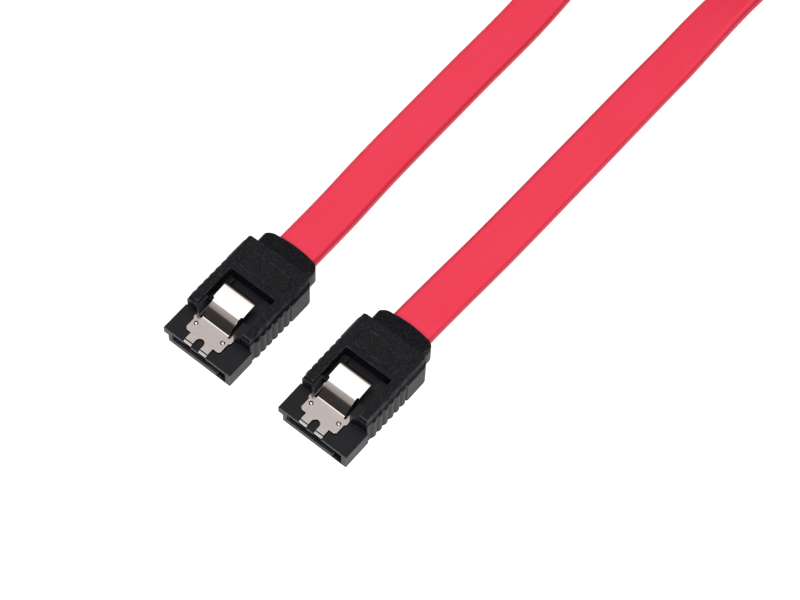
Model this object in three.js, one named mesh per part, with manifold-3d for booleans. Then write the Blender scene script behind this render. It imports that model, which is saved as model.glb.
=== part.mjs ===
// Serial data cable: one flat red cable with a latched black plug on each end.
// Millimetres, +Z up. The origin is the bottom centre of the two plugs, which lie side by side.
// Inside a plug: X across, Y from the mating face to the cable, Z up from the underside.
import * as THREE from 'three';
import { mergeVertices } from 'three/addons/utils/BufferGeometryUtils.js';
import Module from 'manifold-3d';

const wasm = await Module();
wasm.setup();

// Cuts run this far past the faces that they open
const cutOver = 1;

// Plug as a whole
const plugWidth = 14.0;
const plugSpacing = 23.4;
const plugStagger = 0.9;
const fitGap = 0.05;
const seatGap = 0.03;

// Housing: the part that mates
const housingHeight = 3.6;
const deckLength = 5.5;
const housingCorner = 0.25;
const sideStepWidth = 0.95;
const sideStepHeight = 1.9;
const tenonWidth = 12.2;
const tenonLength = 8.7;
const postLength = 2.6;
const postHeight = 2.4;
const railLength = 5.6;
const railHeight = 0.8;

// Blade slot and its key leg
const lipThickness = 0.8;
const slotHeight = 1.4;
const slotDepth = 6.2;
const slotMargin = 0.75;
const keyOffset = 0.94;
const keyWidth = 1.5;
const keyFloor = 0.35;
const mouthRelief = 0.2;

// Contacts
const contactCount = 7;
const contactPitch = 1.27;
const fieldOffset = -0.45;
const contactWidth = 0.5;
const contactThickness = 0.2;
const contactLift = 0.2;
const contactTip = 1.1;
const contactNose = 0.5;
const noseRun = 1.0;
const beamEase = 1.3;
const beamFoot = 0.4;
const channelClearance = 0.1;
const channelFloor = 0.72;
const channelFront = 0.75;
const tailStep = 9.2;
const tailRun = 1.0;
const tailOverhang = 1.2;

// Grip: the moulded body over the housing
const gripHeight = 6.4;
const gripLength = 15.2;
const gripFloor = 0.65;
const gripCorner = 1.3;
const gripTopWidth = 12.9;
const shoulderHeight = 5.7;
const shoulderChamfer = 0.6;
const frontBevel = 0.5;
const edgeBreak = 0.15;
const wallDraft = 0.05;
const ribCount = 6;
const ribPitch = 1.45;
const ribDepth = 0.28;
const ribStart = 0.95;
const windowWidth = 9.4;
const windowLength = 8.55;
const windowCorner = 0.3;
const labelWidth = 9.2;
const labelLength = 3.6;
const labelCorner = 0.8;
const labelLine = 0.22;
const labelDepth = 0.15;
const labelSetback = 2.0;

// Strain relief behind the grip
const reliefWidth = 11.1;
const reliefLength = 3.9;
const reliefHeight = 5.3;
const reliefDrop = 0.8;
const reliefFoot = 0.3;
const reliefCorner = 1.9;
const reliefRound = 1.2;
const reliefArch = 0.35;

// Latch: one bent strip of spring steel
const sheet = 0.25;
const plateClearance = 0.1;
const plateWidth = 7.3;
const plateCorner = 0.4;
const earWidth = 7.9;
const earStart = 4.1;
const earSlope = 0.35;
const tabWidth = 4.7;
const tabLength = 1.9;
const tabDrop = 0.2;
const tabFront = 0.1;
const tabFlat = 0.35;
const tabBend = 0.25;
const notchWidth = 1.56;
const notchLength = 2.15;
const neckWidth = 5.6;
const neckStart = 5.2;
const neckLength = 1.5;
const neckBend = 0.25;
const neckEase = 0.9;
const neckTop = 5.65;
const neckFlare = 0.4;
const padWidth = 6.3;
const padLevel = 6.15;
const padRear = 11.8;
const padCrown = 0.04;
const padLip = 0.7;
const padCorner = 0.45;
const armWidth = 0.4;
const armRear = 12.6;
const slitWidth = 0.4;
const dimpleRadius = 0.42;
const dimpleHeight = 0.26;
const dimpleSpacing = 5.65;
const dimplePlace = 3.7;
const latchClearance = 0.1;
const wellDepth = 0.55;

// Wires in the plug and the block that is moulded round their ends
const coreDiameter = 0.9;
const strandDiameter = 0.32;
const stripLength = 1.3;
const wireSetback = 0.2;
const blockLength = 4.4;
const blockMargin = 0.45;
const blockTop = 3.3;

// Flat cable
const cableWidth = 7.9;
const cableThickness = 2.2;
const cableExitHeight = 2.1;
const cableRest = 0.05;
const cordGap = 0.3;
const straightLead = 6.2;
const cableSteps = 40;
const rollStart = 40;
const rollLength = 110;
const rollEase = 3;

// Levels and places that follow from the sizes above
const slotTop = housingHeight - lipThickness;
const slotFloor = slotTop - slotHeight;
const gripRear = deckLength + gripLength;
const reliefRear = gripRear + reliefLength;
const plugLength = reliefRear;
const tenonRear = deckLength + tenonLength;
const tenonFloor = gripFloor + fitGap;
const contactSpan = (contactCount - 1) * contactPitch;
const slotLeft = fieldOffset - contactSpan / 2 - slotMargin;
const keyLeft = fieldOffset + contactSpan / 2 + keyOffset;
const slotRight = keyLeft + keyWidth;
const tailLevel = cableExitHeight - strandDiameter / 2 - seatGap - contactThickness / 2;
const blockFront = tenonRear + fitGap;
const blockRear = blockFront + blockLength;
const blockWidth = contactSpan + coreDiameter + 2 * blockMargin + 2 * Math.abs(fieldOffset);
const plateLevel = housingHeight + plateClearance + sheet / 2;
const padFront = deckLength + postLength + 2 * latchClearance;
const wellFloor = housingHeight - wellDepth;
const armInner = neckWidth / 2 + slitWidth;
const armOuter = armInner + armWidth;

const blackHousing = new THREE.MeshStandardMaterial({ color: 0x2c2c31, roughness: 0.42, metalness: 0 });
const blackGrip = new THREE.MeshStandardMaterial({ color: 0x27272a, roughness: 0.62, metalness: 0 });
const springSteel = new THREE.MeshStandardMaterial({ color: 0xd6d1ca, roughness: 0.32, metalness: 0.9 });
const goldPlate = new THREE.MeshStandardMaterial({ color: 0xd9b45c, roughness: 0.3, metalness: 0.9 });
const clearBlock = new THREE.MeshStandardMaterial({ color: 0xe3dfd2, roughness: 0.5, metalness: 0 });
const coreSleeve = new THREE.MeshStandardMaterial({ color: 0xe9e9e6, roughness: 0.45, metalness: 0 });
const tinnedDrain = new THREE.MeshStandardMaterial({ color: 0xc4c4c0, roughness: 0.35, metalness: 0.9 });
const redJacket = new THREE.MeshStandardMaterial({ color: 0xef465b, roughness: 0.5, metalness: 0 });

// A closed three.js geometry as a solid that can be cut and joined
function solid(geometry) {
  const bare = geometry.clone();
  bare.deleteAttribute('normal');
  bare.deleteAttribute('uv');
  const merged = mergeVertices(bare, 1e-4);
  return new wasm.Manifold(new wasm.Mesh({
    numProp: 3,
    vertProperties: new Float32Array(merged.attributes.position.array),
    triVerts: new Uint32Array(merged.index.array),
  }));
}

function surface(body) {
  const mesh = body.getMesh();
  const geometry = new THREE.BufferGeometry();
  const points = new Float32Array(mesh.numVert * 3);
  for (let i = 0; i < mesh.numVert; i += 1) {
    for (let axis = 0; axis < 3; axis += 1) {
      points[3 * i + axis] = mesh.vertProperties[mesh.numProp * i + axis];
    }
  }
  geometry.setAttribute('position', new THREE.BufferAttribute(points, 3));
  geometry.setIndex(new THREE.BufferAttribute(new Uint32Array(mesh.triVerts), 1));
  geometry.computeVertexNormals();
  return geometry;
}

// A plan outline (x, y) raised from one level to another
function raised(outline, bottom, top, segments = 5) {
  const geometry = new THREE.ExtrudeGeometry(outline, {
    depth: top - bottom, bevelEnabled: false, curveSegments: segments,
  });
  geometry.translate(0, 0, bottom);
  return solid(geometry);
}

// A section (x, z) run along Y from front to rear
function alongY(section, front, rear, segments = 5) {
  const geometry = new THREE.ExtrudeGeometry(section, {
    depth: rear - front, bevelEnabled: false, curveSegments: segments,
  });
  geometry.rotateX(Math.PI / 2);
  geometry.translate(0, rear, 0);
  return solid(geometry);
}

// A profile (y, z) run along X from left to right
function acrossX(profile, left, right, segments = 5) {
  const geometry = new THREE.ExtrudeGeometry(profile, {
    depth: right - left, bevelEnabled: false, curveSegments: segments,
  });
  const turn = new THREE.Matrix4().makeBasis(
    new THREE.Vector3(0, 1, 0), new THREE.Vector3(0, 0, 1), new THREE.Vector3(1, 0, 0));
  geometry.applyMatrix4(turn);
  geometry.translate(left, 0, 0);
  return solid(geometry);
}

function block(left, right, front, rear, bottom, top) {
  const geometry = new THREE.BoxGeometry(right - left, rear - front, top - bottom);
  geometry.translate((left + right) / 2, (front + rear) / 2, (bottom + top) / 2);
  return solid(geometry);
}

function roundedRectangle(left, right, low, high, radius) {
  const shape = new THREE.Shape();
  shape.absarc(right - radius, low + radius, radius, -Math.PI / 2, 0);
  shape.absarc(right - radius, high - radius, radius, 0, Math.PI / 2);
  shape.absarc(left + radius, high - radius, radius, Math.PI / 2, Math.PI);
  shape.absarc(left + radius, low + radius, radius, Math.PI, 1.5 * Math.PI);
  shape.closePath();
  return shape;
}

// The outline of a strip of even thickness that follows a path
function stripOutline(path, thickness, divisions) {
  const centre = path.getPoints(divisions).filter(
    (point, i, all) => i === 0 || point.distanceTo(all[i - 1]) > 1e-4);
  const upper = [];
  const lower = [];
  centre.forEach((point, i) => {
    const before = centre[Math.max(i - 1, 0)];
    const after = centre[Math.min(i + 1, centre.length - 1)];
    const into = point.clone().sub(before);
    const out = after.clone().sub(point);
    const along = (i + 1 < centre.length ? out : into).clone().normalize();
    const heading = into.normalize().add(out.normalize()).normalize();
    const reach = thickness / 2 / Math.max(heading.dot(along), 0.5);
    upper.push(new THREE.Vector2(point.x - heading.y * reach, point.y + heading.x * reach));
    lower.push(new THREE.Vector2(point.x + heading.y * reach, point.y - heading.x * reach));
  });
  return new THREE.Shape([...upper, ...lower.reverse()]);
}

function contactPlace(index) {
  return fieldOffset + (index - (contactCount - 1) / 2) * contactPitch;
}

// L-shaped opening for the blade: a long slot with the key leg down its right end
function slotOutline(grow) {
  return new THREE.Shape([
    new THREE.Vector2(slotLeft - grow, slotFloor - grow),
    new THREE.Vector2(keyLeft - grow, slotFloor - grow),
    new THREE.Vector2(keyLeft - grow, keyFloor - grow),
    new THREE.Vector2(slotRight + grow, keyFloor - grow),
    new THREE.Vector2(slotRight + grow, slotTop + grow),
    new THREE.Vector2(slotLeft - grow, slotTop + grow),
  ]);
}

function headSection() {
  const half = plugWidth / 2;
  const shape = new THREE.Shape();
  shape.moveTo(-half + sideStepWidth, 0);
  shape.lineTo(half - housingCorner, 0);
  shape.absarc(half - housingCorner, housingCorner, housingCorner, -Math.PI / 2, 0);
  shape.absarc(half - housingCorner, housingHeight - housingCorner, housingCorner, 0, Math.PI / 2);
  shape.absarc(-half + housingCorner, housingHeight - housingCorner, housingCorner, Math.PI / 2, Math.PI);
  shape.lineTo(-half, sideStepHeight);
  shape.lineTo(-half + sideStepWidth, sideStepHeight);
  shape.closePath();
  return shape;
}

// An outline about the latch's middle line: the front notch's arch, then one side's points mirrored
function mirroredOutline(arch, points) {
  const shape = new THREE.Shape();
  shape.absarc(fieldOffset, notchLength - notchWidth / 2, arch, Math.PI, 0, true);
  points.forEach(([x, y]) => shape.lineTo(fieldOffset + x, y));
  [...points].reverse().forEach(([x, y]) => shape.lineTo(fieldOffset - x, y));
  shape.closePath();
  return shape;
}

// Guard post or rail beside the latch: from the grip's window wall in to the latch's arm
function besideLatch(side, inner, front, rear) {
  const outer = side * (windowWidth / 2 - fitGap);
  const edge = fieldOffset + side * inner;
  return roundedRectangle(Math.min(outer, edge), Math.max(outer, edge), front, rear, housingCorner / 2);
}

function guards(side) {
  const foot = housingHeight - housingCorner;
  const postFront = deckLength - housingCorner;
  const railRear = deckLength + windowLength - windowCorner;
  const post = besideLatch(side, armOuter + latchClearance, postFront, postFront + postLength);
  const rail = besideLatch(side, armInner, railRear - railLength, railRear);
  return raised(post, foot, housingHeight + postHeight)
    .add(raised(rail, foot, housingHeight + railHeight));
}

// The sunk well that the latch plate moves in: its outline grown a little, open to the front at each tab
function latchWell() {
  const ear = earWidth / 2 + latchClearance;
  const plate = plateWidth / 2 + latchClearance;
  const tab = tabWidth / 2 + latchClearance;
  const tongue = notchWidth / 2 - latchClearance;
  const front = tabLength - latchClearance;
  return raised(mirroredOutline(tongue, [
    [tongue, -cutOver], [tab, -cutOver], [tab, front], [plate - plateCorner, front],
    [plate, front + plateCorner], [plate, earStart - latchClearance],
    [ear, earStart + earSlope - latchClearance], [ear, deckLength + latchClearance],
  ]), wellFloor, housingHeight + latchClearance);
}

// Channel under a rail that the latch's arm is slid into
function armChannel(side) {
  const inner = fieldOffset + side * (armInner - latchClearance);
  const outer = fieldOffset + side * (armOuter + latchClearance);
  return block(
    Math.min(inner, outer), Math.max(inner, outer), deckLength, armRear + latchClearance,
    wellFloor, plateLevel + sheet / 2 + latchClearance);
}

function makeHousing() {
  const tenonHalf = tenonWidth / 2;
  let body = alongY(headSection(), 0, deckLength);
  body = body.add(alongY(
    roundedRectangle(-tenonHalf, tenonHalf, tenonFloor, housingHeight, housingCorner),
    deckLength - housingCorner, tenonRear));
  body = body.add(guards(-1)).add(guards(1));
  body = body.subtract(alongY(slotOutline(0), -cutOver, slotDepth));
  body = body.subtract(alongY(slotOutline(mouthRelief), -cutOver, mouthRelief));
  body = body.subtract(latchWell()).subtract(armChannel(-1)).subtract(armChannel(1));
  for (let i = 0; i < contactCount; i += 1) {
    const half = contactWidth / 2 + channelClearance;
    const place = contactPlace(i);
    body = body.subtract(block(
      place - half, place + half, channelFront, slotDepth, channelFloor, slotFloor + channelClearance));
    body = body.subtract(block(
      place - half, place + half, slotDepth - channelClearance, tenonRear + cutOver,
      channelFloor, tailLevel + contactThickness / 2 + channelClearance));
  }
  return body;
}

// A stamped contact: level foot, arched beam whose crest stands in the slot, tail for the wire
function makeContact(index) {
  const foot = channelFloor + seatGap + contactThickness / 2;
  const crest = slotFloor + contactLift - contactThickness / 2;
  const path = new THREE.Path();
  const top = contactTip + noseRun;
  const root = slotDepth - beamFoot;
  const tailMiddle = tailStep - tailRun / 2;
  path.moveTo(contactTip, crest - contactNose);
  path.quadraticCurveTo(contactTip + noseRun / 2, crest, top, crest);
  path.bezierCurveTo(top + beamEase, crest, root - beamEase, foot, root, foot);
  path.lineTo(tailStep - tailRun, foot);
  path.bezierCurveTo(tailMiddle, foot, tailMiddle, tailLevel, tailStep, tailLevel);
  path.lineTo(tenonRear + tailOverhang, tailLevel);
  const place = contactPlace(index);
  return acrossX(stripOutline(path, contactThickness, 5), place - contactWidth / 2, place + contactWidth / 2);
}

// Grip plan: straight front, scalloped finger ribs on both flanks, rounded rear corners
function gripOutline() {
  const half = plugWidth / 2;
  const valley = half - ribDepth;
  const ribRadius = (ribPitch * ribPitch / 4 + ribDepth * ribDepth) / (2 * ribDepth);
  const sweep = Math.asin(ribPitch / 2 / ribRadius);
  const firstRib = deckLength + ribStart;
  const shape = new THREE.Shape();
  shape.moveTo(valley, deckLength);
  shape.lineTo(valley, firstRib);
  for (let i = 0; i < ribCount; i += 1) {
    const middle = firstRib + (i + 0.5) * ribPitch;
    shape.absarc(half - ribRadius, middle, ribRadius, -sweep, sweep);
  }
  const padStart = firstRib + ribCount * ribPitch;
  shape.lineTo(half, padStart + ribDepth);
  shape.absarc(half - gripCorner, gripRear - gripCorner, gripCorner, 0, Math.PI / 2);
  shape.absarc(-half + gripCorner, gripRear - gripCorner, gripCorner, Math.PI / 2, Math.PI);
  shape.lineTo(-half, padStart + ribDepth);
  for (let i = ribCount - 1; i >= 0; i -= 1) {
    const middle = firstRib + (i + 0.5) * ribPitch;
    shape.absarc(-half + ribRadius, middle, ribRadius, Math.PI - sweep, Math.PI + sweep);
  }
  shape.lineTo(-valley, deckLength);
  shape.closePath();
  return shape;
}

// Grip section: ribbed flanks up to a sloping ledge, a set-back wall above it, a flat top
function gripSection() {
  const half = plugWidth / 2;
  const topHalf = gripTopWidth / 2;
  const ledge = shoulderHeight - shoulderChamfer;
  return new THREE.Shape([
    new THREE.Vector2(-half, 0), new THREE.Vector2(half, 0), new THREE.Vector2(half, ledge),
    new THREE.Vector2(topHalf + wallDraft, shoulderHeight), new THREE.Vector2(topHalf, gripHeight - edgeBreak),
    new THREE.Vector2(topHalf - edgeBreak, gripHeight), new THREE.Vector2(-topHalf + edgeBreak, gripHeight),
    new THREE.Vector2(-topHalf, gripHeight - edgeBreak), new THREE.Vector2(-topHalf - wallDraft, shoulderHeight),
    new THREE.Vector2(-half, ledge),
  ]);
}

// Grip side profile: bevelled front edge, level top
function gripProfile() {
  return new THREE.Shape([
    new THREE.Vector2(deckLength, 0), new THREE.Vector2(gripRear, 0),
    new THREE.Vector2(gripRear, gripHeight), new THREE.Vector2(deckLength + frontBevel, gripHeight),
    new THREE.Vector2(deckLength, gripHeight - frontBevel),
  ]);
}

function reliefBody() {
  const half = reliefWidth / 2;
  const plan = new THREE.Shape();
  plan.moveTo(-half, gripRear - gripCorner);
  plan.lineTo(half, gripRear - gripCorner);
  plan.absarc(half - reliefCorner, reliefRear - reliefArch - reliefCorner, reliefCorner, 0, Math.PI / 2);
  plan.quadraticCurveTo(0, reliefRear + reliefArch, -half + reliefCorner, reliefRear - reliefArch);
  plan.absarc(
    -half + reliefCorner, reliefRear - reliefArch - reliefCorner, reliefCorner, Math.PI / 2, Math.PI);
  plan.closePath();
  const profile = new THREE.Shape([
    new THREE.Vector2(gripRear - gripCorner, reliefFoot), new THREE.Vector2(reliefRear + cutOver, reliefFoot),
    new THREE.Vector2(reliefRear + cutOver, reliefHeight - reliefDrop),
    new THREE.Vector2(reliefRear, reliefHeight - reliefDrop), new THREE.Vector2(gripRear, reliefHeight),
    new THREE.Vector2(gripRear - gripCorner, reliefHeight),
  ]);
  const section = roundedRectangle(-half, half, reliefFoot, reliefHeight, reliefRound);
  return raised(plan, 0, reliefHeight + cutOver)
    .intersect(acrossX(profile, -plugWidth, plugWidth))
    .intersect(alongY(section, deckLength, reliefRear + cutOver));
}

// The fine line round the label field, cut into the grip's top and left empty
function labelGroove() {
  const rear = gripRear - labelSetback;
  const half = labelWidth / 2;
  const ring = roundedRectangle(-half, half, rear - labelLength, rear, labelCorner);
  ring.holes.push(roundedRectangle(
    -half + labelLine, half - labelLine, rear - labelLength + labelLine, rear - labelLine,
    labelCorner - labelLine));
  return raised(ring, gripHeight - labelDepth, gripHeight + cutOver);
}

function makeGrip() {
  let body = raised(gripOutline(), 0, gripHeight)
    .intersect(alongY(gripSection(), deckLength, gripRear))
    .intersect(acrossX(gripProfile(), -plugWidth, plugWidth))
    .add(reliefBody());
  const tenonHalf = tenonWidth / 2 + fitGap;
  const windowHalf = windowWidth / 2;
  body = body.subtract(alongY(
    roundedRectangle(-tenonHalf, tenonHalf, gripFloor, housingHeight + fitGap, housingCorner),
    deckLength - cutOver, tenonRear + fitGap));
  body = body.subtract(raised(
    roundedRectangle(-windowHalf, windowHalf, deckLength - cutOver, deckLength + windowLength, windowCorner),
    housingHeight, gripHeight + cutOver));
  const blockHalf = blockWidth / 2 + fitGap;
  body = body.subtract(block(
    -blockHalf, blockHalf, tenonRear, blockRear + cordGap, gripFloor, blockTop + fitGap));
  body = body.subtract(alongY(cableSection(cordGap, cableExitHeight), blockRear, reliefRear + cutOver));
  return body.subtract(labelGroove());
}

function makeWireBlock() {
  const half = blockWidth / 2;
  let body = block(-half, half, blockFront, blockRear, tenonFloor, blockTop);
  for (let i = 0; i < contactCount; i += 1) {
    const reach = coreDiameter / 2 + seatGap;
    body = body.subtract(block(
      contactPlace(i) - reach, contactPlace(i) + reach, blockFront - cutOver, blockRear + cutOver,
      cableExitHeight - reach, cableExitHeight + reach));
  }
  return body;
}

// Signal cores lie on contacts 2, 3, 5 and 6, bare drain wires on the ground contacts 1, 4 and 7
function isGround(index) {
  return index % 3 === 0;
}

function makeWire(index) {
  const front = blockFront + wireSetback;
  const rear = blockRear;
  const bare = strandDiameter / 2;
  const outer = isGround(index) ? bare : coreDiameter / 2;
  const profile = [
    new THREE.Vector2(0, front), new THREE.Vector2(bare, front),
    new THREE.Vector2(bare, front + stripLength), new THREE.Vector2(outer, front + stripLength),
    new THREE.Vector2(outer, rear), new THREE.Vector2(0, rear),
  ];
  const points = isGround(index) ? [profile[0], profile[1], profile[4], profile[5]] : profile;
  const geometry = new THREE.LatheGeometry(points, 10);
  geometry.translate(contactPlace(index), 0, cableExitHeight);
  return solid(geometry);
}

// Latch side profile at deck level: tabs stepped down at the front, then plate and arms
function plateProfile() {
  const path = new THREE.Path();
  path.moveTo(tabFront, plateLevel - tabDrop);
  path.lineTo(tabFront + tabFlat, plateLevel - tabDrop);
  path.lineTo(tabFront + tabFlat + tabBend, plateLevel);
  path.lineTo(armRear, plateLevel);
  return stripOutline(path, sheet, 1);
}

// Tongue side profile: neck bent up sharply, press pad that slopes up to the rear, lip turned down
function tongueProfile() {
  const rise = neckStart + neckLength;
  const lip = padRear - padLip;
  const slope = (padLevel - neckTop) / (lip - rise);
  const path = new THREE.Path();
  path.moveTo(neckStart - sheet, plateLevel);
  path.lineTo(neckStart, plateLevel);
  path.bezierCurveTo(
    neckStart + neckBend, plateLevel, rise - neckEase, neckTop - neckEase * slope, rise, neckTop);
  path.quadraticCurveTo((rise + lip) / 2, (neckTop + padLevel) / 2 + 2 * padCrown, lip, padLevel);
  path.quadraticCurveTo(lip + padLip / 2, padLevel, padRear, padLevel - padLip / 2);
  return stripOutline(path, sheet, 10);
}

// Latch plan at deck level: notched plate, two tabs, two ears, and the arms either side of the neck
function plateOutline() {
  const plate = plateWidth / 2;
  const ear = earWidth / 2;
  const neck = neckWidth / 2;
  const slitFront = neckStart - sheet;
  return mirroredOutline(notchWidth / 2, [
    [notchWidth / 2, -cutOver], [tabWidth / 2, -cutOver], [tabWidth / 2, tabLength],
    [plate - plateCorner, tabLength], [plate, tabLength + plateCorner], [plate, earStart],
    [ear, earStart + earSlope], [ear, deckLength - earSlope], [armOuter, deckLength], [armOuter, armRear],
    [armInner, armRear], [armInner, slitFront + slitWidth / 4],
    [(armInner + neck) / 2, slitFront - slitWidth / 4], [neck, slitFront + slitWidth / 4], [neck, neckStart],
  ]);
}

// Tongue plan: narrow neck, wider pad with rounded rear corners
function tongueOutline() {
  const neck = neckWidth / 2;
  const pad = padWidth / 2;
  const shape = new THREE.Shape();
  shape.moveTo(fieldOffset + neck, neckStart - sheet);
  shape.lineTo(fieldOffset + neck, padFront - neckFlare);
  shape.quadraticCurveTo(fieldOffset + neck, padFront, fieldOffset + pad, padFront);
  shape.absarc(fieldOffset + pad - padCorner, padRear + sheet - padCorner, padCorner, 0, Math.PI / 2);
  shape.absarc(fieldOffset - pad + padCorner, padRear + sheet - padCorner, padCorner, Math.PI / 2, Math.PI);
  shape.lineTo(fieldOffset - pad, padFront);
  shape.quadraticCurveTo(fieldOffset - neck, padFront, fieldOffset - neck, padFront - neckFlare);
  shape.lineTo(fieldOffset - neck, neckStart - sheet);
  shape.closePath();
  return shape;
}

function latchDimple(side) {
  const radius = (dimpleRadius * dimpleRadius + dimpleHeight * dimpleHeight) / (2 * dimpleHeight);
  const geometry = new THREE.SphereGeometry(radius, 16, 24);
  const plateTop = plateLevel + sheet / 2;
  const place = [fieldOffset + side * dimpleSpacing / 2, dimplePlace, plateTop + dimpleHeight - radius];
  geometry.rotateX(Math.PI / 2);
  geometry.translate(...place);
  const cap = block(
    place[0] - radius, place[0] + radius, place[1] - radius, place[1] + radius,
    plateLevel, plateTop + radius);
  return solid(geometry).intersect(cap);
}

function makeLatch() {
  const high = gripHeight + cutOver;
  const plate = acrossX(plateProfile(), -plugWidth, plugWidth).intersect(raised(plateOutline(), 0, high));
  const tongue = acrossX(tongueProfile(), -plugWidth, plugWidth).intersect(raised(tongueOutline(), 0, high));
  return plate.add(tongue).add(latchDimple(-1)).add(latchDimple(1));
}

// Flat cable section about a level: straight faces with round edges
function cableSection(grow, level) {
  const half = cableWidth / 2 + grow;
  const rise = cableThickness / 2 + grow;
  return roundedRectangle(-half, half, level - rise, level + rise, rise);
}

// Quarter turn of the ribbon: it lies flat by the plugs and stands on its edge in the far loop
function rollAt(point) {
  const turned = THREE.MathUtils.smoothstep(point.y, rollStart, rollStart + rollLength);
  return Math.pow(turned, rollEase) * Math.PI / 2;
}

class RibbonRoute extends THREE.Curve {
  constructor(points) {
    super();
    this.course = new THREE.CatmullRomCurve3(points);
  }

  getPoint(t, target = new THREE.Vector3()) {
    this.course.getPoint(t, target);
    target.z += (cableWidth - cableThickness) / 2 * Math.sin(rollAt(target));
    return target;
  }

  computeFrenetFrames(segments) {
    const frames = { tangents: [], normals: [], binormals: [] };
    const up = new THREE.Vector3(0, 0, 1);
    for (let i = 0; i <= segments; i += 1) {
      const tangent = this.getTangentAt(i / segments);
      const roll = rollAt(this.getPointAt(i / segments));
      const side = tangent.clone().cross(up).normalize();
      const normal = side.applyAxisAngle(tangent, roll);
      frames.tangents.push(tangent);
      frames.normals.push(normal);
      frames.binormals.push(tangent.clone().cross(normal));
    }
    return frames;
  }
}

// Route of the cable's middle line, from the left plug round the far loop to the right plug
function cableRoute() {
  const rest = cableThickness / 2 + cableRest;
  const start = blockRear + cordGap - plugLength / 2;
  const left = -plugSpacing / 2;
  const right = plugSpacing / 2;
  const low = -plugStagger / 2;
  const high = plugStagger / 2;
  return new RibbonRoute([
    [left, start + low, cableExitHeight], [left, start + low + straightLead, cableExitHeight],
    [-11.9, 22, 1.5], [-12.3, 34, rest], [-12.2, 56, rest], [-12.1, 78, rest], [-14.2, 100, rest],
    [-20.5, 120, rest], [-26.5, 141, rest], [-31.3, 161, rest], [-33, 180, rest], [-28.6, 197, rest],
    [-16.5, 209, rest], [0, 213, rest], [16.5, 209, rest], [28.6, 197, rest], [33, 180, rest],
    [31, 161, rest], [26, 142, rest], [20, 123, rest], [14.4, 104, rest], [13.25, 80, rest],
    [12.7, 56, rest], [12.2, 34, rest], [11.8, 22, 1.5],
    [right, start + high + straightLead, cableExitHeight], [right, start + high, cableExitHeight],
  ].map(([x, y, z]) => new THREE.Vector3(x, y, z)));
}

function makeCable() {
  return solid(new THREE.ExtrudeGeometry(cableSection(0, 0), {
    steps: cableSteps, extrudePath: cableRoute(), curveSegments: 2, bevelEnabled: false,
  }));
}

function addPiece(group, name, body, material) {
  const mesh = new THREE.Mesh(surface(body), material);
  mesh.name = name;
  group.add(mesh);
}

function makePlug(side) {
  const plug = new THREE.Group();
  addPiece(plug, `housing_${side}`, makeHousing(), blackHousing);
  addPiece(plug, `grip_${side}`, makeGrip(), blackGrip);
  addPiece(plug, `latch_${side}`, makeLatch(), springSteel);
  addPiece(plug, `wire_block_${side}`, makeWireBlock(), clearBlock);
  for (let i = 0; i < contactCount; i += 1) {
    addPiece(plug, `contact_${side}_${i + 1}`, makeContact(i), goldPlate);
    const kind = isGround(i) ? 'drain_wire' : 'signal_core';
    addPiece(plug, `${kind}_${side}_${i + 1}`, makeWire(i), isGround(i) ? tinnedDrain : coreSleeve);
  }
  return plug;
}

const cable = new THREE.Group();
const plugLeft = makePlug('left');
plugLeft.position.set(-plugSpacing / 2, -plugLength / 2 - plugStagger / 2, 0);
const plugRight = makePlug('right');
plugRight.position.set(plugSpacing / 2, -plugLength / 2 + plugStagger / 2, 0);
cable.add(plugLeft, plugRight);
addPiece(cable, 'flat_cable', makeCable(), redJacket);

export default cable;
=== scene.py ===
"""Serial data cable: one flat red cable with a latched black plug on each end, on a white light table."""

import math

import bmesh
import bpy
from mathutils import Matrix, Quaternion, Vector


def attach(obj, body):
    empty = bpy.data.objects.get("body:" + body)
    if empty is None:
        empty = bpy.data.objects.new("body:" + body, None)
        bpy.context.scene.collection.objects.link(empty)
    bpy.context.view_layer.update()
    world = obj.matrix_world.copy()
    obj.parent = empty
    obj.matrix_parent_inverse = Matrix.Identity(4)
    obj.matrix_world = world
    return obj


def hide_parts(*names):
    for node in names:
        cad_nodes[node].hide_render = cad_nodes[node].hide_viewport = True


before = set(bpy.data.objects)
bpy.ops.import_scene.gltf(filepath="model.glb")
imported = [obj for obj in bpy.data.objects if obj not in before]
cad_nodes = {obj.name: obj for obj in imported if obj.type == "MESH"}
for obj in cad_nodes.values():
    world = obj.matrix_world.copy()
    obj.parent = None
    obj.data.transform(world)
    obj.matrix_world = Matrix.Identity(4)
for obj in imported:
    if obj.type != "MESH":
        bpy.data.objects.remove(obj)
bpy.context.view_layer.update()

MM = 0.001
SIDES = ("left", "right")

# The camera, fitted to the plugs' corners in the picture: angles in degrees, lens and sensor in mm
CAMERA_AZIMUTH, CAMERA_ELEVATION, CAMERA_ROLL = 36.41, 61.32, 3.16
CAMERA_TARGET = Vector((6.17, 17.02, 0)) * MM
CAMERA_DISTANCE = 424.9 * MM
LENS, SENSOR = 117, 36
NEAREST_SEEN = 10 * MM

# The light table, a hair below the part so that their faces don't meet
TABLE_HALF = 1500 * MM
TABLE_LEVEL = -0.03 * MM

# The plugs' places, as the part's source has them
PLUG_SPACING = 23.4 * MM
PLUG_STAGGER = 0.9 * MM     # the right plug lies this much further back
PLUG_LENGTH = 24.6 * MM
BLOCK_REAR = 18.65 * MM     # the wire block's rear, behind the mating face
CORD_GAP = 0.3 * MM         # from there to the cable's end
STRAIGHT_LEAD = 6.2 * MM    # how far the cable leaves the block level
FIELD_OFFSET = -0.45 * MM   # the latch and contacts stand this far beside the plug's middle
SIGNAL_PLACES = (2, 3, 5, 6)
GROUND_PLACES = (1, 4, 7)

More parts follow.
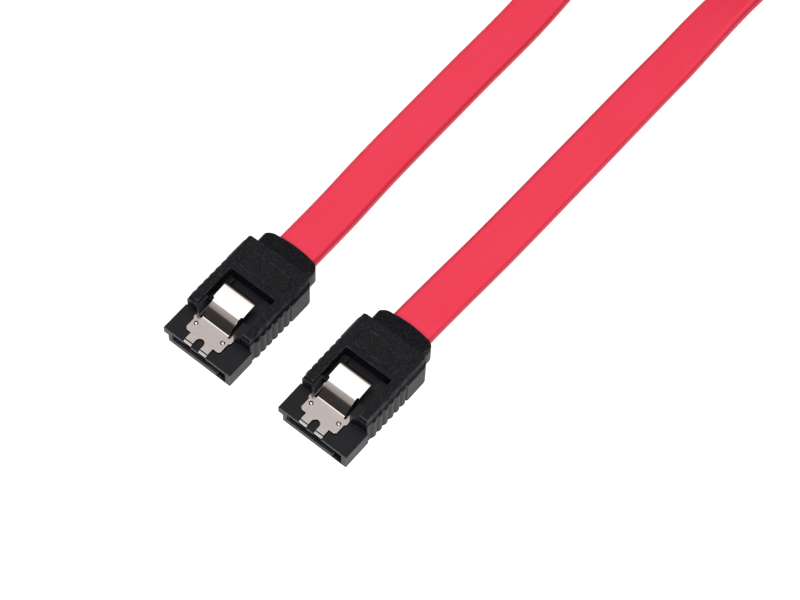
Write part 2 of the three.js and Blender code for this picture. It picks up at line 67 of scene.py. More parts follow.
# The flat cable and its section
CABLE_LENGTH = 457 * MM
CABLE_WIDTH = 7.9 * MM
CABLE_THICKNESS = 2.2 * MM
CABLE_EDGE = 0.95 * MM
CABLE_DIP = 0.035 * MM
CABLE_EXIT_HEIGHT = 2.1 * MM
CABLE_REST = 0.05 * MM
ROLL_START = 40 * MM
ROLL_LENGTH = 110 * MM
ROLL_EASE = 3
CABLE_RINGS = 460
CORNER_STEPS = 8
LEVEL_STEPS = 12
SPLINE_STEPS = 40

# Rounded edges: their radii, and which edges of the solids they take
HOUSING_EDGE = 0.05 * MM
GRIP_EDGE = 0.07 * MM
LATCH_EDGE = 0.025 * MM
SAME_POINT = 0.0001 * MM
FLAT_ANGLE = math.radians(0.6)
SHARP_ANGLE = math.radians(34)
SHADED_ANGLE = math.radians(50)
SLIVER_COSINE = 0.97        # a seam within about 14 degrees of an edge

# The latch's press tongue from the side, in mm of the plug's (y, z): as the solid folds it, and as rolled
TONGUE_HALF = 3.18 * MM
TONGUE_REACH = 0.3
TONGUE_STEPS = 40
FOLDED = (((5.2, 3.825), (5.45, 3.825), (5.8, 5.548), (6.7, 5.65)),
          ((6.7, 5.65), (8.9, 5.98), (11.1, 6.15)))
ROLLED = (((5.2, 3.825), (5.36, 3.825), (5.47, 3.94)),
          ((5.47, 3.94), (7.2, 5.74), (8.0, 5.83)),
          ((8.0, 5.83), (9.5, 6.05), (11.1, 6.15)))

# The recessed label frame on the grip, whose fine groove gets less edge wear and painted edge highlight than
# outer edges
GRIP_TOP = 6.4 * MM
LABEL_FLOOR = 6.1 * MM
LABEL_MIDDLE = 16.9 * MM
LABEL_REACH = 5.1 * MM
LABEL_WEAR_AND_GLINT = 0.75

# The stamped contacts: a strip's middle line in mm of the plug's (y, z), and the row that it stands in
CONTACT_COUNT = 7
CONTACT_PITCH = 1.27 * MM
CONTACT_WIDTH = 0.5 * MM
CONTACT_THICKNESS = 0.2 * MM
CONTACT_EDGE = 0.04 * MM
CONTACT_STEPS = 14
CONTACT_SHARP = math.radians(40)
CONTACT_LINE = (((1.1, 1.0), (1.6, 1.5), (2.1, 1.5)),
                ((2.1, 1.5), (3.4, 1.5), (4.5, 0.85), (5.8, 0.85)),
                ((5.8, 0.85), (8.2, 0.85)),
                ((8.2, 0.85), (8.7, 0.85), (8.7, 1.81), (9.2, 1.81)),
                ((9.2, 1.81), (15.4, 1.81)))

# How close each finish's pattern lies, as so many to the millimetre
JACKET_CLOUDS = 0.06 / MM
FLOW_MARKS = 0.42 / MM
GRIP_GRAIN = 1 / (0.24 * MM)
# Patch scales of the lighter edges, partly wear and partly painted highlight
HOUSING_WEAR_GLINTS, GRIP_WEAR_GLINTS, LATCH_WEAR_GLINTS = 0.9 / MM, 0.7 / MM, 1.5 / MM
GOLD_WEAR = 1.5 / MM
BLOCK_CLOUDS = 0.7 / MM
SLEEVE_CLOUDS = 1.8 / MM
HAIR_LINES = 9 / MM


# Small tools

def linear(code):
    """An sRGB hex colour as the linear colour that Blender's sockets take."""
    values = [int(code[i:i + 2], 16) / 255 for i in (1, 3, 5)]
    return [v / 12.92 if v <= 0.04045 else ((v + 0.055) / 1.055) ** 2.4 for v in values] + [1]


def add_node(tree, kind, links=(), **settings):
    """A node with its settings, where input values are given as a dict, and links to its inputs."""
    node = tree.nodes.new(kind)
    values = settings.pop("values", {})
    for name, value in settings.items():
        setattr(node, name, value)
    for name, value in values.items():
        node.inputs[name].default_value = value
    for name, socket in dict(links).items():
        tree.links.new(socket, node.inputs[name])
    return node


def new_material(name, values):
    """A material with its Principled shader, its tree and its Object coordinates."""
    material = bpy.data.materials.new(name)
    material.use_nodes = True
    tree = material.node_tree
    tree.nodes.clear()
    shader = add_node(tree, "ShaderNodeBsdfPrincipled", values=values)
    add_node(tree, "ShaderNodeOutputMaterial", {"Surface": shader.outputs[0]})
    place = add_node(tree, "ShaderNodeTexCoord").outputs["Object"]
    return material, tree, shader, place


def feed(tree, shader, sockets):
    """Links what a material works out to the shader's inputs of the given names."""
    for name, socket in sockets.items():
        tree.links.new(socket, shader.inputs[name])


def add_object(name, data):
    """An object in the scene that shows the data, at the origin."""
    item = bpy.data.objects.new(name, data)
    bpy.context.scene.collection.objects.link(item)
    return item


def keep_result(piece):
    """What the modifiers make becomes the piece's plain mesh."""
    settled = piece.evaluated_get(bpy.context.evaluated_depsgraph_get())
    mesh = bpy.data.meshes.new_from_object(settled)
    piece.modifiers.clear()
    piece.data = mesh
    mesh.name = piece.name


def plug_front(side):
    """Where a plug's own frame stands: the middle of its mating face, on the table."""
    sign = -1 if side == "left" else 1
    return Vector((sign * PLUG_SPACING / 2, -PLUG_LENGTH / 2 + sign * PLUG_STAGGER / 2, 0))


# Camera, lights and table

def place_camera():
    """Long lens, from the front right and above, as the picture was taken."""
    azimuth, elevation, roll = (math.radians(a) for a in (CAMERA_AZIMUTH, CAMERA_ELEVATION, CAMERA_ROLL))
    back = Vector((math.sin(azimuth) * math.cos(elevation),
                   -math.cos(azimuth) * math.cos(elevation),
                   math.sin(elevation)))
    across = Vector((math.cos(azimuth), math.sin(azimuth), 0))
    above = back.cross(across)
    right = across * math.cos(roll) + above * math.sin(roll)
    up = above * math.cos(roll) - across * math.sin(roll)
    data = bpy.data.cameras.new("camera")
    data.lens = LENS
    data.sensor_width = SENSOR
    data.clip_start = NEAREST_SEEN
    camera = add_object("camera", data)
    turn = Matrix((right, up, back)).transposed().to_4x4()
    camera.matrix_world = Matrix.Translation(CAMERA_TARGET + back * CAMERA_DISTANCE) @ turn
    bpy.context.scene.camera = camera


def soft_light(name, place, size, power, colour):
    """A square softbox that faces the middle of the table."""
    data = bpy.data.lights.new(name, "AREA")
    data.shape = "SQUARE"
    data.size = size
    data.energy = power
    data.color = linear(colour)[:3]
    light = add_object(name, data)
    light.location = place
    light.rotation_euler = (-Vector(place)).to_track_quat("-Z", "Y").to_euler()


def light_room():
    """A white tent, bright overhead and dark towards the table, so bent steel mirrors a dark band."""
    world = bpy.data.worlds.new("tent")
    bpy.context.scene.world = world
    world.use_nodes = True
    tree = world.node_tree
    tree.nodes.clear()
    way = add_node(tree, "ShaderNodeTexCoord").outputs["Generated"]
    height = add_node(tree, "ShaderNodeSeparateXYZ", {"Vector": way}).outputs["Z"]
    share = add_node(tree, "ShaderNodeMapRange", {"Value": height}, interpolation_type="SMOOTHSTEP",
                     values={"From Min": 0.5, "From Max": 0.88, "To Min": 0.04, "To Max": 0.65}).outputs[0]
    sky = add_node(tree, "ShaderNodeBackground", {"Strength": share}, values={"Color": linear("#FFFCFA")})
    add_node(tree, "ShaderNodeOutputWorld", {"Surface": sky.outputs[0]})
    soft_light("overhead_softbox", (-0.27, -0.06, 0.86), 0.6, 1.3, "#FFFFFF")
    soft_light("front_softbox", (0.4, -0.32, 0.74), 0.45, 4.3, "#FFFFFF")


def lay_table():
    """A light table: a pale sheet that glows, so the ground stays white under the part."""
    acrylic = new_material("light_table_acrylic", {
        "Base Color": linear("#E6E6E6"), "Roughness": 0.6,
        "Emission Color": linear("#FFFFFF"), "Emission Strength": 0.72})[0]
    corners = [(x * TABLE_HALF, y * TABLE_HALF, TABLE_LEVEL) for x, y in ((-1, -1), (1, -1), (1, 1), (-1, 1))]
    mesh = bpy.data.meshes.new("light_table")
    mesh.from_pydata(corners, [], [(0, 1, 2, 3)])
    mesh.materials.append(acrylic)
    table = add_object("light_table", mesh)


# The flat cable

def cable_course():
    """The middle line's route points, from the left plug round the far loop to the right plug.

    They are in mm, and have a height only where the cable still comes down to the table.
    """
    rest = CABLE_THICKNESS / 2 + CABLE_REST
    start = BLOCK_REAR + CORD_GAP - PLUG_LENGTH / 2
    low, high = start - PLUG_STAGGER / 2, start + PLUG_STAGGER / 2
    x = PLUG_SPACING / 2
    route = [
        (-11.9, 22, 1.5), (-12.3, 34), (-12.2, 56), (-12.1, 78), (-14.2, 100), (-20.5, 120), (-26.5, 141),
        (-31.3, 161), (-33, 180), (-28.6, 197), (-16.5, 209), (0, 213), (16.5, 209), (28.6, 197), (33, 180),
        (31, 161), (26, 142), (20, 123), (14.4, 104), (13.25, 80), (12.7, 56), (12.2, 34), (11.8, 22, 1.5)]
    points = [Vector((p[0] * MM, p[1] * MM, p[2] * MM if len(p) == 3 else rest)) for p in route]
    ends = [[Vector((s * x, y, CABLE_EXIT_HEIGHT)) for y in ys]
            for s, ys in ((-1, (low, low + STRAIGHT_LEAD)), (1, (high + STRAIGHT_LEAD, high)))]
    return ends[0] + points + ends[1]


def smooth_line(points, count):
    """Centripetal spline through the points, cut to steps of even length."""
    padded = [points[0] * 2 - points[1]] + points + [points[-1] * 2 - points[-2]]
    fine = []
    for a, b, c, d in zip(padded, padded[1:], padded[2:], padded[3:]):
        first, middle, last = (math.sqrt((q - p).length) for p, q in ((a, b), (b, c), (c, d)))
        leave = ((b - a) / first - (c - a) / (first + middle) + (c - b) / middle) * middle
        reach = ((c - b) / middle - (d - b) / (middle + last) + (d - c) / last) * middle
        for i in range(SPLINE_STEPS):
            t = i / SPLINE_STEPS
            fine.append(b + leave * t + (-3 * b + 3 * c - 2 * leave - reach) * t ** 2
                        + (2 * b - 2 * c + leave + reach) * t ** 3)
    fine.append(points[-1])
    run = [0]
    for p, q in zip(fine, fine[1:]):
        run.append(run[-1] + (q - p).length)
    line, k = [], 0
    for i in range(count + 1):
        want = run[-1] * i / count
        while k < len(run) - 2 and run[k + 1] < want:
            k += 1
        line.append(fine[k].lerp(fine[k + 1], (want - run[k]) / (run[k + 1] - run[k])))
    return line


def ribbon_roll(point):
    """The ribbon lies flat by the plugs and stands on its edge in the far loop."""
    share = min(max((point.y - ROLL_START) / ROLL_LENGTH, 0), 1)
    return (share * share * (3 - 2 * share)) ** ROLL_EASE * math.pi / 2


def cable_section():
    """Half flat, half round: level faces that sink a hair between the wire pairs, and rounded edges."""
    half, rise = CABLE_WIDTH / 2 - CABLE_EDGE, CABLE_THICKNESS / 2 - CABLE_EDGE
    section = []
    for cx, cy, begin in ((half, rise, 0), (-half, rise, 90), (-half, -rise, 180), (half, -rise, 270)):
        for i in range(CORNER_STEPS + 1):
            angle = math.radians(begin + i * 90 / CORNER_STEPS)
            section.append((cx + CABLE_EDGE * math.cos(angle), cy + CABLE_EDGE * math.sin(angle)))
        if begin in (0, 180):
            sign = 1 if begin == 0 else -1
            for i in range(1, LEVEL_STEPS):
                share = i / LEVEL_STEPS
                dip = CABLE_DIP * (1 - math.cos(share * 4 * math.pi)) / 2
                section.append((sign * (half - 2 * half * share), sign * (CABLE_THICKNESS / 2 - dip)))
    return section


def make_cable(material):
    """The cable as one closed sweep, with its run in metres and its way round the section as UV."""
    line = smooth_line(cable_course(), CABLE_RINGS)
    rolls = [ribbon_roll(p) for p in line]
    lift = (CABLE_WIDTH - CABLE_THICKNESS) / 2
    centres = [p + Vector((0, 0, lift * math.sin(r))) for p, r in zip(line, rolls)]
    section = cable_section()
    vertices = []
    for i, (centre, roll) in enumerate(zip(centres, rolls)):
        along = (centres[min(i + 1, CABLE_RINGS)] - centres[max(i - 1, 0)]).normalized()
        side = along.cross(Vector((0, 0, 1))).normalized()
        side.rotate(Quaternion(along, roll))
        over = side.cross(along)
        vertices += [centre + side * x + over * y for x, y in section]
    n = len(section)
    faces = [(i * n + k, i * n + (k + 1) % n, (i + 1) * n + (k + 1) % n, (i + 1) * n + k)
             for i in range(CABLE_RINGS) for k in range(n)]
    faces += [tuple(reversed(range(n))), tuple(CABLE_RINGS * n + k for k in range(n))]
    mesh = bpy.data.meshes.new("cable_jacket")
    mesh.from_pydata(vertices, [], faces)
    mesh.materials.append(material)
    mesh.shade_smooth()
    layer = mesh.uv_layers.new(name="run")
    step = CABLE_LENGTH / CABLE_RINGS
    for face in mesh.polygons:
        for loop in face.loop_indices:
            ring, place = divmod(mesh.loops[loop].vertex_index, n)
            # The last strip round the section closes at 1, not back at 0
            if place == 0 and face.index < CABLE_RINGS * n and face.index % n == n - 1:
                place = n
            layer.data[loop].uv = (ring * step, place / n)
    cable = add_object("cable_jacket", mesh)
    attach(cable, "cable")
    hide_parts("flat_cable")


# Materials

def wear_and_glint_edges(tree, place, scale):
    """How much an edge is painted lighter, partly real wear and partly painted highlight: the rounded edge
    faces, broken up by noise.
    """
    edge = add_node(tree, "ShaderNodeAttribute", attribute_name="wear_and_glint_edge").outputs["Fac"]
    patch = add_node(tree, "ShaderNodeTexNoise", {"Vector": place},
                     values={"Scale": scale, "Detail": 2}).outputs[0]
    wear_and_glint_patches = add_node(tree, "ShaderNodeMapRange", {"Value": patch},
                      values={"From Min": 0.35, "From Max": 0.7}).outputs[0]
    return add_node(tree, "ShaderNodeMath", {0: edge, 1: wear_and_glint_patches}, operation="MULTIPLY").outputs[0]


def jacket_pvc():
    """Flexible PVC, extruded: satin, faint draw lines along it, and painted shade that darkens the rounded
    edges to a deeper red.
    """
    material, tree, shader, place = new_material("red_pvc_jacket_extruded", {
        "Roughness": 0.42, "IOR": 1.52, "Specular IOR Level": 0.4})
    run = add_node(tree, "ShaderNodeUVMap", uv_map="run").outputs[0]
    # Draw lines about 50 mm long, 180 of them round the section
    stretched = add_node(tree, "ShaderNodeMapping", {"Vector": run},
                         values={"Scale": (0.02 / MM, 180, 1)}).outputs[0]
    lines = add_node(tree, "ShaderNodeTexNoise", {"Vector": stretched}, noise_dimensions="2D",
                     values={"Scale": 1, "Detail": 2}).outputs[0]
    cloud = add_node(tree, "ShaderNodeTexNoise", {"Vector": place},
                     values={"Scale": JACKET_CLOUDS, "Detail": 2}).outputs[0]
    tone = add_node(tree, "ShaderNodeMix", {"Factor": cloud}, data_type="RGBA",
                    values={"A": linear("#FF3450"), "B": linear("#FF405C")}).outputs["Result"]
    # Painted shade on the rounded edges, strongest at the middles of the two rounded edges
    around = add_node(tree, "ShaderNodeSeparateXYZ", {"Vector": run}).outputs["Y"]
    turn = add_node(tree, "ShaderNodeMath", {0: around}, operation="MULTIPLY",
                    values={1: 4 * math.pi}).outputs[0]
    edge_shade_peak = add_node(tree, "ShaderNodeMath", {0: turn}, operation="COSINE").outputs[0]
    edge = add_node(tree, "ShaderNodeMapRange", {"Value": edge_shade_peak}, interpolation_type="SMOOTHSTEP",
                    values={"From Min": 0.0, "From Max": 0.95, "To Max": 0.75}).outputs[0]
    # The darker red mixed in here is painted shade on the rounded edges
    colour = add_node(tree, "ShaderNodeMix", {"Factor": edge, "A": tone}, data_type="RGBA",
                      values={"B": linear("#A80E2A")}).outputs["Result"]
    bump = add_node(tree, "ShaderNodeBump", {"Height": lines},
                    values={"Strength": 0.15, "Distance": 0.02 * MM})
    feed(tree, shader, {"Base Color": colour, "Normal": bump.outputs[0]})
    return material


def housing_pbt():
    """PBT, injection moulded in a polished tool: near black, a soft sheen, faint flow marks, and edges
    painted lighter, partly wear and partly painted highlight.
    """
    material, tree, shader, place = new_material("black_pbt_moulded_smooth", {
        "IOR": 1.55, "Specular IOR Level": 0.27})
    flow = add_node(tree, "ShaderNodeTexNoise", {"Vector": place},
                    values={"Scale": FLOW_MARKS, "Detail": 3}).outputs[0]
    wear_and_glint = wear_and_glint_edges(tree, place, HOUSING_WEAR_GLINTS)
    # Lighter rounded edges, partly wear and partly painted highlight
    colour = add_node(tree, "ShaderNodeMix", {"Factor": wear_and_glint}, data_type="RGBA",
                      values={"A": linear("#0B0B14"), "B": linear("#5A5A62")}).outputs["Result"]
    rough = add_node(tree, "ShaderNodeMapRange", {"Value": flow},
                     values={"To Min": 0.4, "To Max": 0.55}).outputs[0]
    bump = add_node(tree, "ShaderNodeBump", {"Height": flow},
                    values={"Strength": 0.12, "Distance": 0.03 * MM})
    feed(tree, shader, {"Base Color": colour, "Roughness": rough, "Normal": bump.outputs[0]})
    return material


def grip_pvc():
    """PVC, moulded over the housing in a spark-eroded tool: an even grain, its tips a little rubbed."""
    material, tree, shader, place = new_material("black_pvc_spark_textured", {
        "IOR": 1.5, "Specular IOR Level": 0.24})
    # The real grain is about 0.1 mm; it is drawn at 0.24 mm, the finest that shows at this distance
    grain = add_node(tree, "ShaderNodeTexNoise", {"Vector": place},
                     values={"Scale": GRIP_GRAIN, "Detail": 2}).outputs[0]
    tips = add_node(tree, "ShaderNodeMapRange", {"Value": grain}, interpolation_type="SMOOTHSTEP",
                    values={"From Min": 0.48, "From Max": 0.7}).outputs[0]
    speckled = add_node(tree, "ShaderNodeMix", {"Factor": tips}, data_type="RGBA",
                        values={"A": linear("#040408"), "B": linear("#26262E")}).outputs["Result"]
    wear_and_glint = wear_and_glint_edges(tree, place, GRIP_WEAR_GLINTS)
    # Lighter rounded edges, partly wear and partly painted highlight
    colour = add_node(tree, "ShaderNodeMix", {"Factor": wear_and_glint, "A": speckled}, data_type="RGBA",
                      values={"B": linear("#54545C")}).outputs["Result"]
    rough = add_node(tree, "ShaderNodeMapRange", {"Value": grain},
                     values={"To Min": 0.62, "To Max": 0.42}).outputs[0]
    bump = add_node(tree, "ShaderNodeBump", {"Height": grain},
                    values={"Strength": 0.6, "Distance": 0.03 * MM})
    feed(tree, shader, {"Base Color": colour, "Roughness": rough, "Normal": bump.outputs[0]})
    return material


def latch_steel():
    """Stainless spring strip, cold rolled: satin, with hair lines along it, and edges painted brighter,
    partly bright sheared metal and partly painted highlight.
    """
    material, tree, shader, place = new_material("stainless_spring_strip_rolled", {"Metallic": 1.0})
    # Real hair lines are far finer; nine to the millimetre is the finest that shows, each 1.4 mm long
    rolled = add_node(tree, "ShaderNodeMapping", {"Vector": place},
                      values={"Scale": (HAIR_LINES, 0.7 / MM, 0.7 / MM)}).outputs[0]
    hair = add_node(tree, "ShaderNodeTexNoise", {"Vector": rolled},
                    values={"Scale": 1, "Detail": 2}).outputs[0]
    wear_and_glint = wear_and_glint_edges(tree, place, LATCH_WEAR_GLINTS)
    # Brighter rounded edges, partly sheared metal and partly painted highlight
    colour = add_node(tree, "ShaderNodeMix", {"Factor": wear_and_glint}, data_type="RGBA",
                      values={"A": linear("#DAD1CD"), "B": linear("#FFFAF5")}).outputs["Result"]
    rough = add_node(tree, "ShaderNodeMapRange", {"Value": hair},
                     values={"To Min": 0.12, "To Max": 0.2}).outputs[0]
    bump = add_node(tree, "ShaderNodeBump", {"Height": hair},
                    values={"Strength": 0.06, "Distance": 0.01 * MM})
    feed(tree, shader, {"Base Color": colour, "Roughness": rough, "Normal": bump.outputs[0]})
    return material


def contact_gold():
    """Copper alloy with a thin gold plate: warm and smooth."""
    material, tree, shader, place = new_material("gold_plated_contact_alloy", {
        "Metallic": 1.0, "Base Color": linear("#E0B35C")})
    wear = add_node(tree, "ShaderNodeTexNoise", {"Vector": place},
                    values={"Scale": GOLD_WEAR, "Detail": 2}).outputs[0]
    rough = add_node(tree, "ShaderNodeMapRange", {"Value": wear},
                     values={"To Min": 0.16, "To Max": 0.32}).outputs[0]
    feed(tree, shader, {"Roughness": rough})
    return material


def block_polyethylene():
    """Natural polyethylene, moulded: milky and waxy."""
    material, tree, shader, place = new_material("natural_polyethylene_block", {
        "IOR": 1.5, "Base Color": linear("#DCD8CA")})
    cloud = add_node(tree, "ShaderNodeTexNoise", {"Vector": place},
                     values={"Scale": BLOCK_CLOUDS, "Detail": 2}).outputs[0]
    rough = add_node(tree, "ShaderNodeMapRange", {"Value": cloud},
                     values={"To Min": 0.38, "To Max": 0.52}).outputs[0]
    feed(tree, shader, {"Roughness": rough})
    return material


def sleeve_polyethylene():
    """Foamed polyethylene round a signal core: white and slightly glossy."""
    material, tree, shader, place = new_material("white_core_sleeve_extruded", {
        "Roughness": 0.35, "IOR": 1.5, "Base Color": linear("#EDEDEA")})
    cloud = add_node(tree, "ShaderNodeTexNoise", {"Vector": place},
                     values={"Scale": SLEEVE_CLOUDS, "Detail": 2}).outputs[0]
    bump = add_node(tree, "ShaderNodeBump", {"Height": cloud},
                    values={"Strength": 0.1, "Distance": 0.01 * MM})
    feed(tree, shader, {"Normal": bump.outputs[0]})
    return material


def drain_tin():
    """Tinned copper wire: dull silver."""
    material, tree, shader, place = new_material("tinned_copper_drawn", {
        "Metallic": 1.0, "Roughness": 0.34, "Base Color": linear("#C2C2BE")})
    pulled = add_node(tree, "ShaderNodeMapping", {"Vector": place},
                      values={"Scale": (HAIR_LINES, 0.6 / MM, HAIR_LINES)}).outputs[0]
    hair = add_node(tree, "ShaderNodeTexNoise", {"Vector": pulled}, values={"Scale": 1}).outputs[0]
    bump = add_node(tree, "ShaderNodeBump", {"Height": hair},
                    values={"Strength": 0.2, "Distance": 0.01 * MM})
    feed(tree, shader, {"Normal": bump.outputs[0]})
    return material


# The plugs' moulded and stamped pieces, with the broken edges that the solids leave out

def clear_of_slivers(edge, sharp):
    """Whether no seam of a flat face runs off at a shallow angle from the edge's ends.

    Rounded over, such an edge would fold a sliver inwards, so it stays sharp.
    """
    for face in edge.link_faces:
        for corner in edge.verts:
            seam = next(e for e in face.edges if corner in e.verts and e is not edge)
            ahead = (edge.other_vert(corner).co - corner.co).normalized()
            aside = (seam.other_vert(corner).co - corner.co).normalized()
            if seam not in sharp and ahead.dot(aside) > SLIVER_COSINE:
                return False
    return True


def in_label_groove(place):
    """Whether a point of a grip lies by its label frame."""
    middles = [plug_front(side) + Vector((0, LABEL_MIDDLE, GRIP_TOP)) for side in SIDES]
    return place.z > LABEL_FLOOR and any((place - middle).length < LABEL_REACH for middle in middles)


def softened_copy(name, node, material, edge, body="cable", form=None):
    """The node's shape with its sharp edges rounded over, as a new piece that stands for the node."""
    mesh = cad_nodes[node].data.copy()
    shape = bmesh.new()
    shape.from_mesh(mesh)
    bmesh.ops.remove_doubles(shape, verts=shape.verts, dist=SAME_POINT)
    bmesh.ops.dissolve_limit(shape, angle_limit=FLAT_ANGLE, verts=shape.verts, edges=shape.edges)
    if form:
        form(shape)
    wear_and_glint = shape.faces.layers.float.new("wear_and_glint_edge")
    turned = shape.faces.layers.bool.new("rounded")
    sharp = [e for e in shape.edges if len(e.link_faces) == 2 and e.calc_face_angle(0) > SHARP_ANGLE]
    all_sharp = set(sharp)
    clear = [e for e in sharp if clear_of_slivers(e, all_sharp)]
    rounded = bmesh.ops.bevel(shape, geom=clear, offset=edge, segments=2, profile=0.5, affect="EDGES",
                              clamp_overlap=False)
    shape.normal_update()
    # Convex rounded faces are marked for lighter edges, partly wear and partly painted highlight; the label
    # groove's are marked less
    for face in rounded["faces"]:
        face[turned] = True
        outer = sum(e.calc_length() for e in face.edges if e.is_convex)
        if outer > sum(e.calc_length() for e in face.edges) / 2:
            face[wear_and_glint] = LABEL_WEAR_AND_GLINT if in_label_groove(face.calc_center_median()) else 1
    bmesh.ops.triangulate(shape, faces=[f for f in shape.faces if len(f.verts) > 4])
    shape.to_mesh(mesh)
    shape.free()
    mesh.name = name
    mesh.materials.clear()
    mesh.materials.append(material)
    for face in mesh.polygons:
        face.use_smooth = True
        face.material_index = 0
    turn_edges(mesh)
    piece = add_object(name, mesh)
    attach(piece, body)
    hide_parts(node)


def turn_edges(mesh):
    """Flat faces keep their own normals, and only the rounded edges turn from one to the next."""
    turned = [value.value for value in mesh.attributes["rounded"].data]
    around = [[] for _ in mesh.vertices]
    for face in mesh.polygons:
        for vertex in face.vertices:
            around[vertex].append(face.index)
    limit = math.cos(SHADED_ANGLE)
    normals = [None] * len(mesh.loops)
    for face in mesh.polygons:
        for loop in face.loop_indices:
            near = [mesh.polygons[i] for i in around[mesh.loops[loop].vertex_index]
                    if mesh.polygons[i].normal.dot(face.normal) > limit]
            main = [f for f in near if not turned[f.index]] or near
            total = sum((f.normal * f.area for f in main), Vector())
            normals[loop] = total.normalized() if total.length else face.normal
    mesh.normals_split_custom_set(normals)


def bezier(points, t):
    """A point of a curve of any degree."""
    while len(points) > 1:
        points = [p.lerp(q, t) for p, q in zip(points, points[1:])]
    return points[0]


def drawn(curves, steps):
    """A chain of curves as points, with how far along it each one lies."""
    points = [Vector(curves[0][0])]
    for curve in curves:
        count = 1 if len(curve) == 2 else steps
        points += [bezier([Vector(p) for p in curve], (i + 1) / count) for i in range(count)]
    runs = [0.0]
    for p, q in zip(points, points[1:]):
        runs.append(runs[-1] + (q - p).length)
    return points, [r / runs[-1] for r in runs]


def rolled_tongue(side):
    """Takes the folded tongue to the wide, even bend that a spring strip springs back to."""
    front = plug_front(side)
    folded, rolled = drawn(FOLDED, TONGUE_STEPS), drawn(ROLLED, TONGUE_STEPS)

    def form(shape):
        for vertex in shape.verts:
            place = Vector((vertex.co.y - front.y, vertex.co.z)) / MM
            if abs(vertex.co.x - front.x - FIELD_OFFSET) > TONGUE_HALF:
                continue
            best = None
            for p, q, start, end in zip(folded[0], folded[0][1:], folded[1], folded[1][1:]):
                part = min(max((place - p).dot(q - p) / (q - p).length_squared, 0), 1)
                away = place - p.lerp(q, part)
                if best is None or away.length < abs(best[1]):
                    best = start + (end - start) * part, math.copysign(away.length, (q - p).cross(away))
            share, off = best
            if not 0 < share < 1 or abs(off) > TONGUE_REACH:
                continue
            k = next(i for i, run in enumerate(rolled[1][1:]) if run >= share)
            p, q = rolled[0][k], rolled[0][k + 1]
            spot = p.lerp(q, (share - rolled[1][k]) / (rolled[1][k + 1] - rolled[1][k]))
            spot += Vector((p.y - q.y, q.x - p.x)).normalized() * off
            vertex.co.y, vertex.co.z = front.y + spot.x * MM, spot.y * MM
    return form


def row_tree(material):
    """Nodes that sweep a strip's middle line with its section and repeat it at even steps."""
    tree = bpy.data.node_groups.new("stamped_strip_row", "GeometryNodeTree")
    tree.interface.new_socket("Middle Line", in_out="INPUT", socket_type="NodeSocketGeometry")
    tree.interface.new_socket("Count", in_out="INPUT", socket_type="NodeSocketInt")
    for name in ("Pitch", "Strip Width", "Strip Thickness", "Edge Radius"):
        tree.interface.new_socket(name, in_out="INPUT", socket_type="NodeSocketFloat")
    tree.interface.new_socket("Row", in_out="OUTPUT", socket_type="NodeSocketGeometry")
    sizes = tree.nodes.new("NodeGroupInput").outputs
    path = add_node(tree, "GeometryNodeMeshToCurve", {"Mesh": sizes["Middle Line"]}).outputs[0]
    upright = add_node(tree, "GeometryNodeSetCurveNormal", {"Curve": path}, mode="Z_UP").outputs[0]
    strip = add_node(tree, "GeometryNodeCurvePrimitiveQuadrilateral", {
        "Width": sizes["Strip Width"], "Height": sizes["Strip Thickness"]}).outputs[0]
    section = add_node(tree, "GeometryNodeFilletCurve", {"Curve": strip, "Radius": sizes["Edge Radius"]},
                       mode="POLY", values={"Count": 2}).outputs[0]
    beam = add_node(tree, "GeometryNodeCurveToMesh", {"Curve": upright, "Profile Curve": section},
                    values={"Fill Caps": True}).outputs[0]
    step = add_node(tree, "ShaderNodeCombineXYZ", {"X": sizes["Pitch"]}).outputs[0]
    places = add_node(tree, "GeometryNodeMeshLine", {"Count": sizes["Count"], "Offset": step}).outputs[0]
    row = add_node(tree, "GeometryNodeInstanceOnPoints", {"Points": places, "Instance": beam}).outputs[0]
    real = add_node(tree, "GeometryNodeRealizeInstances", {"Geometry": row}).outputs[0]
    finished = add_node(tree, "GeometryNodeSetMaterial", {"Geometry": real}, values={"Material": material})
    add_node(tree, "NodeGroupOutput", {"Row": finished.outputs[0]})
    return tree


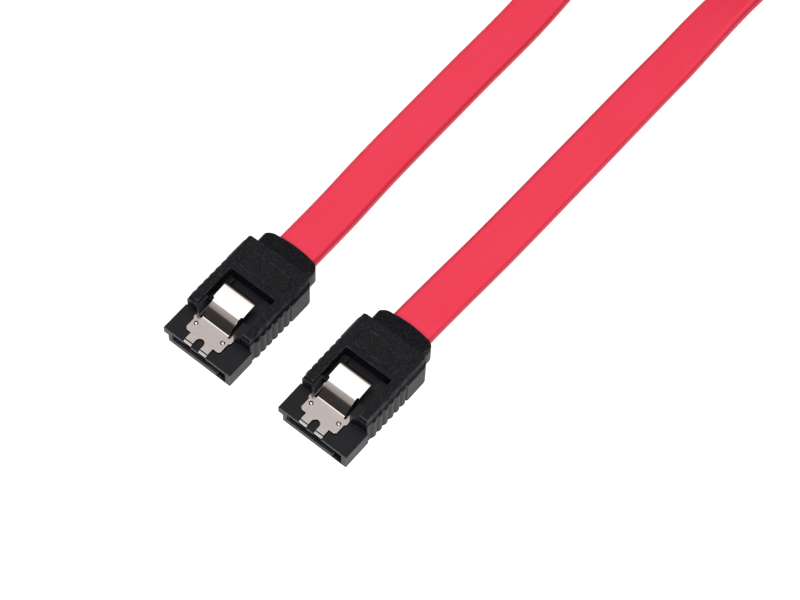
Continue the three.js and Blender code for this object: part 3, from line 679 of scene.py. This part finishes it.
def contact_row(side, tree):
    """A plug's seven contacts as one piece."""
    front = plug_front(side) + Vector((FIELD_OFFSET - (CONTACT_COUNT - 1) * CONTACT_PITCH / 2, 0, 0))
    line = [front + Vector((0, p.x, p.y)) * MM for p in drawn(CONTACT_LINE, CONTACT_STEPS)[0]]
    mesh = bpy.data.meshes.new("contact_middle_line")
    mesh.from_pydata(line, [(i, i + 1) for i in range(len(line) - 1)], [])
    piece = add_object(f"contact_row_{side}", mesh)
    row = piece.modifiers.new("row", "NODES")
    row.node_group = tree
    sizes = {"Count": CONTACT_COUNT, "Pitch": CONTACT_PITCH, "Strip Width": CONTACT_WIDTH,
             "Strip Thickness": CONTACT_THICKNESS, "Edge Radius": CONTACT_EDGE}
    for socket in tree.interface.items_tree:
        if socket.in_out == "INPUT" and socket.name in sizes:
            row[socket.identifier] = sizes[socket.name]
    keep_result(piece)
    piece.data.set_sharp_from_angle(angle=CONTACT_SHARP)
    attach(piece, "cable")
    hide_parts(*[f"contact_{side}_{i + 1}" for i in range(CONTACT_COUNT)])


def dress(nodes, material):
    """The solids whose shapes are right stay, and get their finish in their own material slots."""
    for name in nodes:
        for slot in cad_nodes[name].material_slots:
            slot.material = material


place_camera()
light_room()
lay_table()
make_cable(jacket_pvc())

pbt, pvc, steel = housing_pbt(), grip_pvc(), latch_steel()
gold, natural, white, tin = contact_gold(), block_polyethylene(), sleeve_polyethylene(), drain_tin()
contacts = row_tree(gold)
for side in SIDES:
    softened_copy(f"plug_housing_{side}", f"housing_{side}", pbt, HOUSING_EDGE)
    softened_copy(f"plug_grip_{side}", f"grip_{side}", pvc, GRIP_EDGE)
    softened_copy(f"latch_strip_{side}_steel", f"latch_{side}", steel, LATCH_EDGE,
                  f"latch_strip_{side}", rolled_tongue(side))
    contact_row(side, contacts)
    dress([f"wire_block_{side}"], natural)
    dress([f"signal_core_{side}_{i}" for i in SIGNAL_PLACES], white)
    dress([f"drain_wire_{side}_{i}" for i in GROUND_PLACES], tin)

bpy.context.scene.view_settings.view_transform = "Standard"
